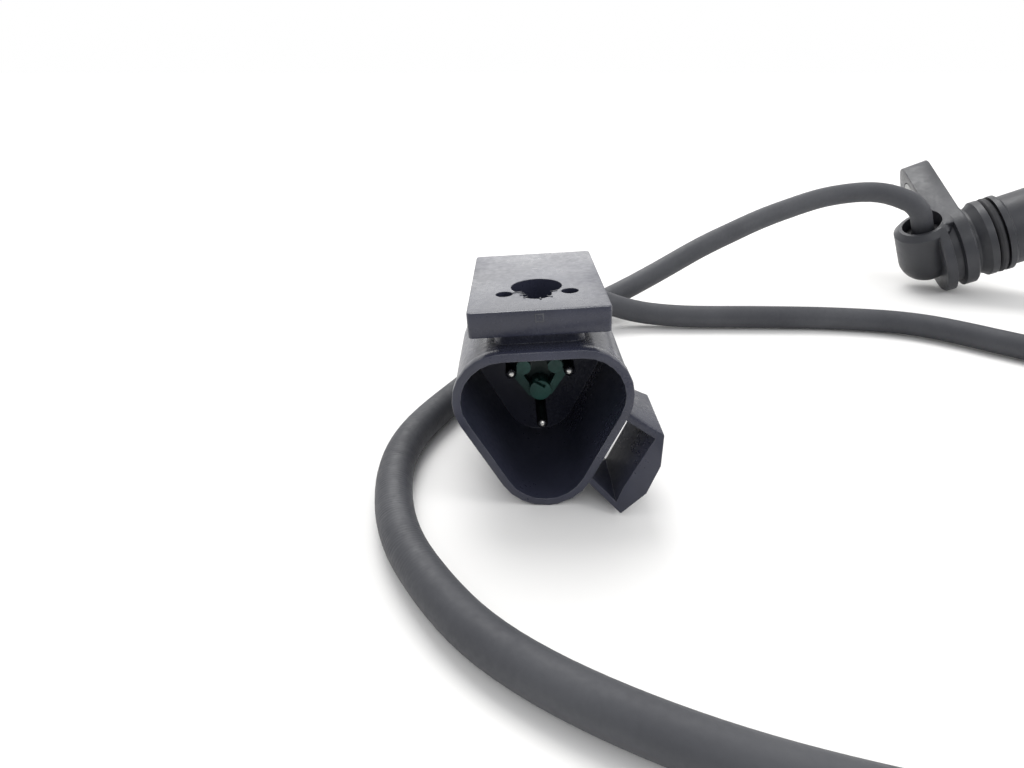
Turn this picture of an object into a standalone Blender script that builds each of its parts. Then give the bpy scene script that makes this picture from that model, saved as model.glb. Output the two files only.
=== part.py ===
"""Vehicle speed sensor: a clamp-down pickup head, its free cable and the three-pin receptacle on its end."""

import math

import bmesh
import bpy
from mathutils import Matrix, Vector

MM = 0.001
GAP = 0.3 * MM  # clearance between pieces that touch

# Receptacle shell, seen from its open end: x to the right, y into the shell, z up
CORNER_HALF_SPACING = 4.95 * MM  # centres of the two upper corner arcs
CORNER_UP = 3.15 * MM  # the upper corner centres above the axis, the lower one twice as far below
LIP_RADIUS = 6.6 * MM
LIP_LENGTH = 1.8 * MM
SHROUD_RADIUS = 6.4 * MM
SHROUD_WALL = 0.9 * MM
SHROUD_LENGTH = 20.5 * MM
CROSS_WALL_FRONT = 19.5 * MM
REAR_RADIUS = 4.7 * MM
REAR_SCALE = 0.9  # the rear body's corner centres against the shroud's
REAR_WALL = 1.1 * MM
HOUSING_LENGTH = 36.5 * MM
REAR_POCKET_DEPTH = 8.0 * MM
REAR_RIB_RADIUS = 5.3 * MM
REAR_RIB_WIDTH = 1.4 * MM

# Mounting plate on its neck
PLATE_WIDTH = 17.8 * MM
PLATE_LENGTH = 27.2 * MM
PLATE_THICKNESS = 3.3 * MM
PLATE_SETBACK = 2.0 * MM
PLATE_CORNER = 0.5 * MM
NECK_HEIGHT = 1.6 * MM
NECK_WIDTH = 11.6 * MM
NECK_LENGTH = 24.0 * MM
KEYHOLE_SETBACK = 9.75 * MM  # centre of the large lobe behind the plate's front edge
KEYHOLE_RADIUS = 3.45 * MM
KEYHOLE_SMALL_RADIUS = 1.9 * MM
KEYHOLE_SPACING = 3.5 * MM
PEG_HOLE_RADIUS = 1.15 * MM
PEG_HOLE_SPACING = 8.6 * MM
PEG_HOLE_SETBACK = 7.0 * MM
PEG_HOLE_DEPTH = 2.2 * MM

# Latch bridge on the lower right side
BRIDGE_ROOTS = (5.9 * MM, -5.6 * MM)  # upper and lower side wall along the shroud's side, outer faces
BRIDGE_CORNERS = ((6.0 * MM, 4.5 * MM), (-6.9 * MM, 5.2 * MM))  # the same at the outer wall, and how far out
BRIDGE_CROWN = ((1.8 * MM, 6.4 * MM), (-2.6 * MM, 6.8 * MM))
BRIDGE_WALL = 1.1 * MM
BRIDGE_LENGTH = 11.4 * MM
BRIDGE_LEAD = 2.4 * MM  # how far its outer wall stands ahead of the lip
RAMP_HEIGHT = 2.2 * MM
RAMP_WIDTH = 5.6 * MM
RAMP_LENGTH = 6.5 * MM
RAMP_SETBACK = 3.0 * MM
RAMP_OFFSET = -1.3 * MM  # its middle along the side, towards the lower corner

# Contacts, seal and wires
PIN_RADIUS = 0.8 * MM
PIN_TIP_DEPTH = 9.5 * MM
PIN_SHOULDER = 24.3 * MM
CRIMP_RADIUS = 1.35 * MM
CRIMP_END = 31.5 * MM
PIN_HALF_PITCH = 4.1 * MM
PIN_UPPER = 2.5 * MM
PIN_LOWER = -5.7 * MM
SEAL_LENGTH = 6.9 * MM
SEAL_RIB = 0.25 * MM
WIRE_RADIUS = 1.05 * MM
WIRE_STRAIGHT = 1.0 * MM
WIRE_BUNDLE_RADIUS = 1.32 * MM
BOOT_START = 42.3 * MM
BOOT_LENGTH = 10.0 * MM
BOOT_RADIUS = 4.3 * MM
BOOT_END_RADIUS = 3.5 * MM
BOOT_MOUTH = 3.0 * MM  # how far the wires reach into the boot

# Wedge lock between the contacts
WEDGE_FRONT = 15.0 * MM
WEDGE_WALL = 0.95 * MM
WEDGE_FLOOR = 1.2 * MM
WEDGE_TOP = 5.9 * MM
WEDGE_SHOULDER = -0.2 * MM
WEDGE_FOOT = -3.9 * MM
WEDGE_HALF_WIDTH = 4.2 * MM
WEDGE_HALF_FOOT = 1.7 * MM
WEDGE_HALF_TOP = 2.9 * MM
WEDGE_BOSS_RADIUS = 1.6 * MM
WEDGE_EYE_RADIUS = 1.1 * MM
WEDGE_EYE_SPACING = 2.35 * MM

# Sensor head: z along the barrel from the seating face, y towards the bolt ear
EAR_FRONT = 0.35 * MM  # the ear's front face behind the seating face
EAR_THICKNESS = 6.2 * MM
EAR_REACH = 28.5 * MM
EAR_HALF_WIDTH = 7.4 * MM
EAR_CORNER = 5.5 * MM
EAR_HALF_ROOT = 10.4 * MM
EAR_EDGE = 0.9 * MM
BOLT_OFFSET = 19.6 * MM
BUSHING_RADIUS = 4.9 * MM
BUSHING_BORE = 3.3 * MM
FLANGE_RADIUS = 10.8 * MM
FRONT_RIB_RADIUS = 10.45 * MM
FLANGE_THICKNESS = 7.4 * MM
FLANGE_GROOVE_RADIUS = 9.1 * MM
NECK_RADIUS = 8.5 * MM
BARREL_RADIUS = 9.0 * MM
RIB_RADIUS = 9.8 * MM
BARREL_LENGTH = 30.0 * MM
RING_GROOVE_START = 4.4 * MM
RING_GROOVE_WIDTH = 2.4 * MM
RING_GROOVE_RADIUS = 7.55 * MM
RING_SECTION = 1.0 * MM  # radius of the ring's round section
RIB_WIDTH = 1.8 * MM
BORE_RADIUS = 5.9 * MM
BORE_FLOOR = 2.0 * MM
CAP_THICKNESS = 3.6 * MM
CAP_SPIGOT = 3.2 * MM
CAP_SPIGOT_WALL = 0.8 * MM
ELBOW_SETBACK = 9.1 * MM
ELBOW_RADIUS = 6.6 * MM
ELBOW_TOP = 10.0 * MM
ELBOW_BOTTOM = 6.8 * MM
ELBOW_CHAMFER = 1.3 * MM
RECESS_RADIUS = 4.5 * MM
RECESS_DEPTH = 7.5 * MM
GLAND_DEPTH = 2.6 * MM  # the gland's face below the recess's rim
EXIT_TURN = math.radians(71.5)  # cable exit round the barrel from the ear

# Pickup inside the barrel
CARRIER_LENGTH = 18.4 * MM
MAGNET_RADIUS = 2.8 * MM
MAGNET_LENGTH = 5.0 * MM
CHIP_WIDTH = 5.2 * MM
CHIP_HEIGHT = 4.4 * MM
CHIP_THICKNESS = 1.5 * MM
LEAD_RADIUS = 0.3 * MM
LEAD_PITCH = 1.27 * MM
LEAD_DROP = 3.9 * MM

# How the two ends lie on the table, which is measured from the viewer's place
TABLE_MIDDLE = Vector((125.6 * MM, 176.3 * MM, 0))  # middle of the head's footprint
BARREL_HEADING = math.radians(-14.7)
BARREL_RISE = math.radians(24.5)
EAR_ROLL = math.radians(54.0)
RECEPTACLE_PLACE = Vector((4.1 * MM, 72.7 * MM, 0))
RECEPTACLE_ROLL = math.radians(-3.3)

# Free cable, from the head's elbow to the receptacle's boot
CABLE_RADIUS = 2.5 * MM
CABLE_STEP = 9.0 * MM
CABLE_FIRST_STEP = 3.6 * MM
CABLE_MIDDLE = [
    (104.5, 169.7, 21.3), (100.6, 170.5, 24.1), (95.0, 172.6, 25.6), (88.2, 174.5, 24.9),
    (80.1, 173.3, 23.8), (71.4, 170.2, 21.8), (63.0, 166.9, 19.7), (54.3, 162.4, 17.1),
    (46.1, 158.6, 14.4), (37.8, 155.3, 10.6), (28.0, 151.6, 6.3), (16.8, 145.2, 3.0),
    (7.0, 134.5, 2.6), (-0.6, 121.0, 2.6), (-5.8, 109.3, 2.6), (-10.3, 99.7, 2.6),
    (-13.5, 92.8, 2.6), (-15.8, 85.8, 2.6), (-16.5, 78.6, 2.6), (-15.7, 70.8, 2.6),
    (-14.0, 64.2, 2.6), (-11.1, 58.1, 2.6), (-2.9, 47.1, 2.6), (9.9, 38.5, 2.6),
    (27.0, 31.8, 2.6), (50.0, 27.5, 2.6), (80.0, 29.0, 2.6), (108.0, 39.5, 2.6),
    (131.0, 60.0, 2.6), (137.0, 78.0, 2.6), (129.0, 99.0, 2.6), (115.0, 112.5, 2.6),
    (102.8, 123.9, 2.8), (90.4, 135.6, 2.8), (74.8, 140.2, 2.6), (56.7, 141.0, 2.7),
    (38.3, 141.2, 2.8), (27.0, 141.9, 3.9), (18.2, 141.3, 7.2), (10.4, 137.6, 10.2),
    (5.6, 131.8, 12.2),
]


def corner_arcs(half_spacing, up, radius, segments=8):
    """Outline of three equal circles, two above and one below, joined by straight sides."""
    centres = [(half_spacing, up), (-half_spacing, up), (0.0, -2 * up)]
    lean = math.atan2(half_spacing, 3 * up)
    spans = [(-lean, math.pi / 2), (math.pi / 2, math.pi + lean), (math.pi + lean, 2 * math.pi - lean)]
    points = []
    for (x, z), (start, end) in zip(centres, spans):
        for i in range(segments + 1):
            turn = start + (end - start) * i / segments
            points.append((x + radius * math.cos(turn), z + radius * math.sin(turn)))
    return points


def rounded_rectangle(left, bottom, right, top, radius, segments=4):
    """Outline of a rectangle with round corners."""
    corners = [(right - radius, top - radius), (left + radius, top - radius)]
    corners += [(left + radius, bottom + radius), (right - radius, bottom + radius)]
    points = []
    for quarter, (x, y) in enumerate(corners):
        for i in range(segments + 1):
            turn = (quarter + i / segments) * math.pi / 2
            points.append((x + radius * math.cos(turn), y + radius * math.sin(turn)))
    return points


def circle(x, y, radius, segments=32):
    """Outline of a circle."""
    turns = [2 * math.pi * i / segments for i in range(segments)]
    return [(x + radius * math.cos(turn), y + radius * math.sin(turn)) for turn in turns]


def clear_scene():
    """Removes what the startup file holds."""
    for obj in list(bpy.data.objects):
        bpy.data.objects.remove(obj, do_unlink=True)


def make_collection(name):
    """A new collection in the scene."""
    made = bpy.data.collections.new(name)
    bpy.context.scene.collection.children.link(made)
    return made


def make_material(name, colour, roughness, metallic=0.0):
    """A Principled material."""
    made = bpy.data.materials.new(name)
    made.use_nodes = True
    shader = made.node_tree.nodes["Principled BSDF"]
    shader.inputs["Base Color"].default_value = (*colour, 1)
    shader.inputs["Roughness"].default_value = roughness
    shader.inputs["Metallic"].default_value = metallic
    return made


def weld(mesh):
    """Joins a curve's loose caps and makes the faces point outwards."""
    loose = bmesh.new()
    loose.from_mesh(mesh)
    bmesh.ops.remove_doubles(loose, verts=loose.verts, dist=1e-6)
    bmesh.ops.recalc_face_normals(loose, faces=loose.faces)
    loose.to_mesh(mesh)
    loose.free()


def mesh_of(obj):
    """The mesh that an object evaluates to, and the object is removed."""
    graph = bpy.context.evaluated_depsgraph_get()
    mesh = bpy.data.meshes.new_from_object(obj.evaluated_get(graph))
    bpy.data.objects.remove(obj, do_unlink=True)
    weld(mesh)
    return mesh


def extruded(name, outline, start, end):
    """A flat outline extruded along z from start to end."""
    curve = bpy.data.curves.new(name, "CURVE")
    curve.dimensions = "2D"
    curve.fill_mode = "BOTH"
    curve.extrude = (end - start) / 2
    spline = curve.splines.new("POLY")
    spline.points.add(len(outline) - 1)
    for point, (x, y) in zip(spline.points, outline):
        point.co = (x, y, 0, 1)
    spline.use_cyclic_u = True
    obj = bpy.data.objects.new(name, curve)
    bpy.context.scene.collection.objects.link(obj)
    mesh = mesh_of(obj)
    mesh.transform(Matrix.Translation((0, 0, (start + end) / 2)))
    return mesh


def turned(name, profile, segments=48):
    """A closed (radius, height) profile turned round the z axis. It starts and ends on the axis, or is a loop."""
    mesh = bpy.data.meshes.new(name)
    shape = bmesh.new()
    ring = [shape.verts.new((radius, 0, height)) for radius, height in profile]
    edges = [shape.edges.new(pair) for pair in zip(ring, ring[1:])]
    if profile[0][0] > 0:
        edges.append(shape.edges.new((ring[-1], ring[0])))
    bmesh.ops.spin(
        shape, geom=ring + edges, cent=(0, 0, 0), axis=(0, 0, 1), angle=2 * math.pi, steps=segments, use_merge=True
    )
    bmesh.ops.remove_doubles(shape, verts=shape.verts, dist=1e-6)
    bmesh.ops.recalc_face_normals(shape, faces=shape.faces)
    shape.to_mesh(mesh)
    shape.free()
    return mesh


def tube(name, points, radius, resolution):
    """A round tube along points, with filled caps."""
    curve = bpy.data.curves.new(name, "CURVE")
    curve.dimensions = "3D"
    curve.bevel_depth = radius
    curve.bevel_resolution = resolution
    curve.use_fill_caps = True
    spline = curve.splines.new("POLY")
    spline.points.add(len(points) - 1)
    for point, place in zip(spline.points, points):
        point.co = (*place, 1)
    return curve


class Builder:
    """Puts pieces, and the helpers that shape them, under one empty."""

    def __init__(self, name, nodes, helpers):
        self.nodes, self.helpers = nodes, helpers
        self.origin = bpy.data.objects.new(name, None)
        nodes.objects.link(self.origin)
        self.pieces = []

    def piece(self, name, data, material):
        """A piece that becomes a node."""
        data.materials.append(material)
        obj = bpy.data.objects.new(name, data)
        obj.parent = self.origin
        self.nodes.objects.link(obj)
        if isinstance(data, bpy.types.Mesh):
            data.shade_smooth()
            data.set_sharp_from_angle(angle=math.radians(32))
        self.pieces.append(obj)
        return obj

    def helper(self, name, mesh, edge=0.0):
        """A solid that a Boolean adds or takes away, with rounded edges where edge is set."""
        obj = bpy.data.objects.new(name, mesh)
        obj.parent = self.origin
        obj.hide_render = True
        obj.display_type = "WIRE"
        self.helpers.objects.link(obj)
        if edge:
            round_edges(obj, edge)
        return obj


def round_edges(obj, width, segments=2, angle=40):
    """Bevels an object's sharp edges."""
    bevel = obj.modifiers.new("edges", "BEVEL")
    bevel.width = width
    bevel.segments = segments
    bevel.limit_method = "ANGLE"
    bevel.angle_limit = math.radians(angle)
    bevel.use_clamp_overlap = True


def combine(obj, other, operation):
    """Adds a helper to an object, or takes it away."""
    boolean = obj.modifiers.new(other.name, "BOOLEAN")
    boolean.operation = operation
    boolean.object = other


# Turns an extrusion along z into one along y, with its outline's second axis up
INTO_SHELL = Matrix(((1, 0, 0, 0), (0, 0, 1, 0), (0, 1, 0, 0), (0, 0, 0, 1)))


def into_shell(mesh):
    """Lays a mesh made along z along the shell's depth."""
    mesh.transform(INTO_SHELL)
    mesh.flip_normals()
    return mesh


def shell_prism(name, outline, start, end):
    """An outline in x and z, extruded into the shell."""
    return into_shell(extruded(name, outline, start, end))


def side_frame():
    """Centre of the shroud's lower right side, and its outward and upward directions in x and z."""
    lean = math.atan2(CORNER_HALF_SPACING, 3 * CORNER_UP)
    outward = Vector((math.cos(lean), -math.sin(lean)))
    upward = Vector((math.sin(lean), math.cos(lean)))
    centre = Vector((CORNER_HALF_SPACING, -CORNER_UP)) / 2 + SHROUD_RADIUS * outward
    return centre, outward, upward


def on_side(points):
    """Turns (along, out) pairs measured on the shroud's side into x and z."""
    centre, outward, upward = side_frame()
    return [tuple(centre + along * upward + out * outward) for along, out in points]


def pin_places():
    """The three contacts' x and z."""
    return [(-PIN_HALF_PITCH, PIN_UPPER), (PIN_HALF_PITCH, PIN_UPPER), (0.0, PIN_LOWER)]


def rear_outline(radius):
    """Outline of the rear body, or of its pocket."""
    return corner_arcs(CORNER_HALF_SPACING * REAR_SCALE, CORNER_UP * REAR_SCALE, radius, 6)


def shroud_outline(radius):
    """Outline of the shroud, or of its inside."""
    return corner_arcs(CORNER_HALF_SPACING, CORNER_UP, radius)


def add_plate(build, housing):
    """The mounting plate on its neck, with its pear-shaped hole and two peg holes."""
    shroud_top = CORNER_UP + SHROUD_RADIUS
    bottom = shroud_top + NECK_HEIGHT
    top = bottom + PLATE_THICKNESS
    half = PLATE_WIDTH / 2
    flat = rounded_rectangle(-half, PLATE_SETBACK, half, PLATE_SETBACK + PLATE_LENGTH, PLATE_CORNER, 2)
    combine(housing, build.helper("plate_slab", extruded("plate_slab", flat, bottom, top), 0.25 * MM), "UNION")

    middle = PLATE_SETBACK + PLATE_LENGTH / 2
    half = NECK_WIDTH / 2
    flat = rounded_rectangle(-half, middle - NECK_LENGTH / 2, half, middle + NECK_LENGTH / 2, 1.5 * MM)
    neck = extruded("plate_neck", flat, shroud_top - SHROUD_WALL / 2, bottom + PLATE_THICKNESS / 2)
    combine(housing, build.helper("plate_neck", neck), "UNION")

    floor = shroud_top + 0.4 * MM
    large = PLATE_SETBACK + KEYHOLE_SETBACK
    for name, y, radius in (
        ("keyhole_large", large, KEYHOLE_RADIUS),
        ("keyhole_small", large - KEYHOLE_SPACING, KEYHOLE_SMALL_RADIUS),
    ):
        hole = extruded(name, circle(0, y, radius, 24), floor, top + 1 * MM)
        combine(housing, build.helper(name, hole), "DIFFERENCE")
    web = [(0.84 * KEYHOLE_RADIUS, large - 0.5 * KEYHOLE_RADIUS), (0.8 * KEYHOLE_SMALL_RADIUS, large - KEYHOLE_SPACING)]
    web += [(-x, y) for x, y in reversed(web)]
    combine(housing, build.helper("keyhole_web", extruded("keyhole_web", web, floor, top + 1 * MM)), "DIFFERENCE")
    for side in (-1, 1):
        x = side * PEG_HOLE_SPACING / 2
        outline = circle(x, PLATE_SETBACK + PEG_HOLE_SETBACK, PEG_HOLE_RADIUS, 16)
        name = "peg_hole_left" if side < 0 else "peg_hole_right"
        hole = extruded(name, outline, top - PEG_HOLE_DEPTH, top + 1 * MM)
        combine(housing, build.helper(name, hole), "DIFFERENCE")


def lean_front(mesh):
    """Moves a prism's front end ahead of the lip in step with how far out it stands."""
    centre, outward, _ = side_frame()
    reach = BRIDGE_CORNERS[0][1]
    for vert in mesh.vertices:
        if vert.co.y < 0:
            out = (Vector((vert.co.x, vert.co.z)) - centre).dot(outward)
            vert.co.y = 0.4 * MM - (BRIDGE_LEAD + 0.4 * MM) * min(max(out / reach, 0.0), 1.0)
    return mesh


def add_bridge(build, housing):
    """The hollow latch bridge on the lower right side, and the ramp that the plug's latch rides over."""
    root = -SHROUD_WALL / 2
    (upper, upper_out), (lower, lower_out) = BRIDGE_CORNERS
    arch = [(BRIDGE_ROOTS[0], root), (upper, upper_out), *BRIDGE_CROWN, (lower, lower_out), (BRIDGE_ROOTS[1], root)]
    inner = [(BRIDGE_ROOTS[0] - BRIDGE_WALL, -1 * MM), (upper - BRIDGE_WALL, upper_out - 0.6 * BRIDGE_WALL)]
    inner += [(lower + BRIDGE_WALL, lower_out - BRIDGE_WALL), (BRIDGE_ROOTS[1] + BRIDGE_WALL, -1 * MM)]
    start, end = -BRIDGE_LEAD, BRIDGE_LENGTH - BRIDGE_LEAD
    bridge = build.helper("bridge_arch", lean_front(shell_prism("bridge_arch", on_side(arch), start, end)), 0.2 * MM)
    tunnel = shell_prism("bridge_tunnel", on_side(inner), start - 1 * MM, end + 1 * MM)
    combine(bridge, build.helper("bridge_tunnel", tunnel), "DIFFERENCE")
    combine(housing, bridge, "UNION")

    centre, outward, upward = side_frame()
    ramp = bpy.data.meshes.new("latch_ramp")
    shape = bmesh.new()
    bmesh.ops.create_cube(shape, size=1)
    for vert in shape.verts:
        depth = RAMP_SETBACK + (vert.co.y + 0.5) * RAMP_LENGTH
        out = root if vert.co.x < 0 else (0.1 * MM if vert.co.y < 0 else RAMP_HEIGHT)
        place = centre + (RAMP_OFFSET + vert.co.z * RAMP_WIDTH) * upward + out * outward
        vert.co = (place.x, depth, place.y)
    bmesh.ops.recalc_face_normals(shape, faces=shape.faces)
    shape.to_mesh(ramp)
    shape.free()
    combine(housing, build.helper("latch_ramp", ramp), "UNION")


def make_housing(build, plastic):
    """The moulded shell: shroud, cross wall, rear body, plate and latch bridge in one piece."""
    shroud = shell_prism("connector_housing", shroud_outline(SHROUD_RADIUS), LIP_LENGTH / 2, SHROUD_LENGTH)
    housing = build.piece("connector_housing", shroud, plastic)
    lip = shell_prism("lip", shroud_outline(LIP_RADIUS), 0, LIP_LENGTH)
    combine(housing, build.helper("lip", lip, 0.25 * MM), "UNION")
    rear = shell_prism("rear_body", rear_outline(REAR_RADIUS), SHROUD_LENGTH - 1 * MM, HOUSING_LENGTH)
    combine(housing, build.helper("rear_body", rear), "UNION")
    rib = shell_prism("rear_rib", rear_outline(REAR_RIB_RADIUS), HOUSING_LENGTH - REAR_RIB_WIDTH, HOUSING_LENGTH)
    combine(housing, build.helper("rear_rib", rib, 0.2 * MM), "UNION")
    add_plate(build, housing)
    add_bridge(build, housing)

    inside = shroud_outline(SHROUD_RADIUS - SHROUD_WALL)
    cavity = shell_prism("shroud_cavity", inside, -5 * MM, CROSS_WALL_FRONT)
    combine(housing, build.helper("shroud_cavity", cavity), "DIFFERENCE")
    pocket_start = HOUSING_LENGTH - REAR_POCKET_DEPTH
    pocket = shell_prism("seal_pocket", rear_outline(REAR_RADIUS - REAR_WALL), pocket_start, HOUSING_LENGTH + 1 * MM)
    combine(housing, build.helper("seal_pocket", pocket), "DIFFERENCE")
    for letter, (x, z) in zip("abc", pin_places()):
        bore = circle(x, z, PIN_RADIUS + GAP, 16)
        bore = shell_prism(f"pin_bore_{letter}", bore, CROSS_WALL_FRONT - 1 * MM, PIN_SHOULDER)
        combine(housing, build.helper(f"pin_bore_{letter}", bore), "DIFFERENCE")
        seat = circle(x, z, CRIMP_RADIUS + GAP, 16)
        seat = shell_prism(f"pin_seat_{letter}", seat, PIN_SHOULDER - GAP, pocket_start + 1 * MM)
        combine(housing, build.helper(f"pin_seat_{letter}", seat), "DIFFERENCE")
    return housing


def make_pins(build, nickel):
    """Three turned contacts with rounded tips and crimp barrels."""
    nose = PIN_RADIUS
    profile = [(0, PIN_TIP_DEPTH)]
    for i in range(1, 5):
        turn = i / 4 * math.pi / 2
        profile.append((PIN_RADIUS * math.sin(turn), PIN_TIP_DEPTH + nose * (1 - math.cos(turn))))
    profile += [(PIN_RADIUS, PIN_SHOULDER - 0.1 * MM), (CRIMP_RADIUS, PIN_SHOULDER + 0.2 * MM)]
    profile += [(CRIMP_RADIUS, CRIMP_END), (0, CRIMP_END)]
    for letter, (x, z) in zip("abc", pin_places()):
        mesh = into_shell(turned(f"pin_terminal_{letter}", profile, 20))
        pin = build.piece(f"pin_terminal_{letter}", mesh, nickel)
        pin.location = (x, 0, z)


def make_wedge(build, green):
    """The green wedge lock: a V-shaped tray with one round boss below and two above."""
    outline = [(WEDGE_HALF_TOP, WEDGE_TOP), (WEDGE_HALF_TOP, WEDGE_SHOULDER + 0.9 * MM)]
    outline += [(WEDGE_HALF_WIDTH, WEDGE_SHOULDER), (WEDGE_HALF_FOOT, WEDGE_FOOT)]
    outline += [(-x, z) for x, z in reversed(outline)]
    back = CROSS_WALL_FRONT - GAP
    wedge = build.piece("wedge_lock", shell_prism("wedge_lock", outline, WEDGE_FRONT + 0.8 * MM, back), green)
    inner = [(WEDGE_HALF_TOP - WEDGE_WALL, WEDGE_TOP + 1 * MM), (WEDGE_HALF_TOP - WEDGE_WALL, WEDGE_SHOULDER)]
    inner += [(WEDGE_HALF_WIDTH - 1.9 * WEDGE_WALL, WEDGE_SHOULDER - 0.3 * MM)]
    inner += [(WEDGE_HALF_FOOT - 0.7 * WEDGE_WALL, WEDGE_FOOT + WEDGE_WALL)]
    inner += [(-x, z) for x, z in reversed(inner)]
    tray = shell_prism("wedge_tray", inner, WEDGE_FRONT - 1 * MM, back - WEDGE_FLOOR)
    combine(wedge, build.helper("wedge_tray", tray), "DIFFERENCE")
    bosses = [("wedge_boss", 0.0, WEDGE_FOOT + 1.15 * MM, WEDGE_BOSS_RADIUS)]
    for name, side in (("wedge_eye_left", -1), ("wedge_eye_right", 1)):
        bosses.append((name, side * WEDGE_EYE_SPACING, WEDGE_SHOULDER + 1.3 * MM, WEDGE_EYE_RADIUS))
    for name, x, z, radius in bosses:
        boss = shell_prism(name, circle(x, z, radius, 20), WEDGE_FRONT, back - WEDGE_FLOOR / 2)
        combine(wedge, build.helper(name, boss), "UNION")
    slot = [(-1.6 * MM, -0.9 * MM), (-1.3 * MM, -0.5 * MM), (0.9 * MM, -2.0 * MM), (0.6 * MM, -2.4 * MM)]
    slot = shell_prism("wedge_slot", slot, WEDGE_FRONT - 1 * MM, WEDGE_FRONT + 0.9 * MM)
    combine(wedge, build.helper("wedge_slot", slot), "DIFFERENCE")


def make_wire_seal(build, rubber):
    """The rear seal, with a hole for each wire and two ribs against the housing."""
    start = HOUSING_LENGTH - REAR_POCKET_DEPTH + GAP
    core = rear_outline(REAR_RADIUS - REAR_WALL - GAP - SEAL_RIB)
    ribbed = rear_outline(REAR_RADIUS - REAR_WALL - GAP)
    seal = build.piece("wire_seal", shell_prism("wire_seal", core, start, start + SEAL_LENGTH), rubber)
    for name, place in (("seal_rib_front", 0.15), ("seal_rib_rear", 0.6)):
        rib_start = start + place * SEAL_LENGTH
        rib = shell_prism(name, ribbed, rib_start, rib_start + 0.2 * SEAL_LENGTH)
        combine(seal, build.helper(name, rib), "UNION")
    for letter, (x, z) in zip("abc", pin_places()):
        outline = circle(x, z, CRIMP_RADIUS + GAP, 16)
        hole = shell_prism(f"wire_hole_{letter}", outline, start - 1 * MM, start + SEAL_LENGTH + 1 * MM)
        combine(seal, build.helper(f"wire_hole_{letter}", hole), "DIFFERENCE")


def make_wires(build, colours):
    """Three insulated wires that run from the contacts and close up into the boot."""
    start = CRIMP_END + GAP
    end = BOOT_START + BOOT_MOUTH
    straight = HOUSING_LENGTH + WIRE_STRAIGHT
    steps = 8
    for letter, (x, z), colour in zip("abc", pin_places(), colours):
        turn = math.atan2(z, x)
        goal = (WIRE_BUNDLE_RADIUS * math.cos(turn), WIRE_BUNDLE_RADIUS * math.sin(turn))
        points = [(x, start, z), (x, (start + straight) / 2, z)]
        for i in range(steps + 1):
            share = i / steps
            ease = share * share * (3 - 2 * share)
            depth = straight + share * (BOOT_START - straight)
            points.append((x + (goal[0] - x) * ease, depth, z + (goal[1] - z) * ease))
        points.append((goal[0], end, goal[1]))
        build.piece(f"lead_wire_{letter}", tube(f"lead_wire_{letter}", points, WIRE_RADIUS, 2), colour)


def make_boot(build, rubber):
    """The tapered sleeve that holds the wires and the cable's end together."""
    bore = CABLE_RADIUS + GAP
    end = BOOT_START + BOOT_LENGTH
    profile = [(bore, BOOT_START), (BOOT_RADIUS - 0.5 * MM, BOOT_START), (BOOT_RADIUS, BOOT_START + 0.5 * MM)]
    for i in range(1, 7):
        share = i / 6
        ease = share * share * (3 - 2 * share)
        radius = BOOT_RADIUS + (BOOT_END_RADIUS - BOOT_RADIUS) * ease
        profile.append((radius, BOOT_START + 0.5 * MM + share * (BOOT_LENGTH - 0.9 * MM)))
    profile += [(BOOT_END_RADIUS - 0.3 * MM, end), (bore, end)]
    build.piece("connector_boot", into_shell(turned("connector_boot", profile, 28)), rubber)


def exit_matrix():
    """The elbow's own axis, up the cable exit from the barrel's axis."""
    return Matrix.Translation((0, 0, -ELBOW_SETBACK)) @ Matrix.Rotation(EXIT_TURN, 4, "Z") @ Matrix.Rotation(
        -math.pi / 2, 4, "X"
    )


def barrel_profile():
    """The flange's two round ribs and the barrel up to its open end, with its ribs and ring groove."""
    back = -FLANGE_THICKNESS
    edge = 0.4 * MM
    profile = [(0, back), (FLANGE_RADIUS - edge, back), (FLANGE_RADIUS, back + edge), (FLANGE_RADIUS, back + 2.2 * MM)]
    profile += [(FLANGE_GROOVE_RADIUS, back + 2.6 * MM), (FLANGE_GROOVE_RADIUS, -3.3 * MM)]
    profile += [(FRONT_RIB_RADIUS, -2.9 * MM), (FRONT_RIB_RADIUS, -edge), (FRONT_RIB_RADIUS - edge, 0), (NECK_RADIUS, 0)]
    groove_end = RING_GROOVE_START + RING_GROOVE_WIDTH
    end = BARREL_LENGTH - CAP_THICKNESS - GAP
    ease = 0.3 * MM
    profile += [(NECK_RADIUS, 1.0 * MM), (RIB_RADIUS - 0.6 * MM, RING_GROOVE_START - RIB_WIDTH - ease)]
    profile += [(RIB_RADIUS, RING_GROOVE_START - RIB_WIDTH + ease), (RIB_RADIUS, RING_GROOVE_START)]
    profile += [(RING_GROOVE_RADIUS, RING_GROOVE_START), (RING_GROOVE_RADIUS, groove_end)]
    profile += [(RIB_RADIUS, groove_end), (RIB_RADIUS, groove_end + RIB_WIDTH - 2 * ease)]
    profile += [(BARREL_RADIUS, groove_end + RIB_WIDTH), (BARREL_RADIUS, end), (0, end)]
    return profile


def elbow_profile():
    """The elbow round the cable exit: a dome below, a cylinder, and a chamfered rim."""
    profile = [(0, -ELBOW_BOTTOM)]
    for i in range(1, 9):
        turn = i / 8 * math.pi / 2
        profile.append((ELBOW_RADIUS * math.sin(turn), -ELBOW_BOTTOM * math.cos(turn)))
    profile += [(ELBOW_RADIUS, ELBOW_TOP - ELBOW_CHAMFER), (ELBOW_RADIUS - ELBOW_CHAMFER, ELBOW_TOP), (0, ELBOW_TOP)]
    return profile


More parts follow.
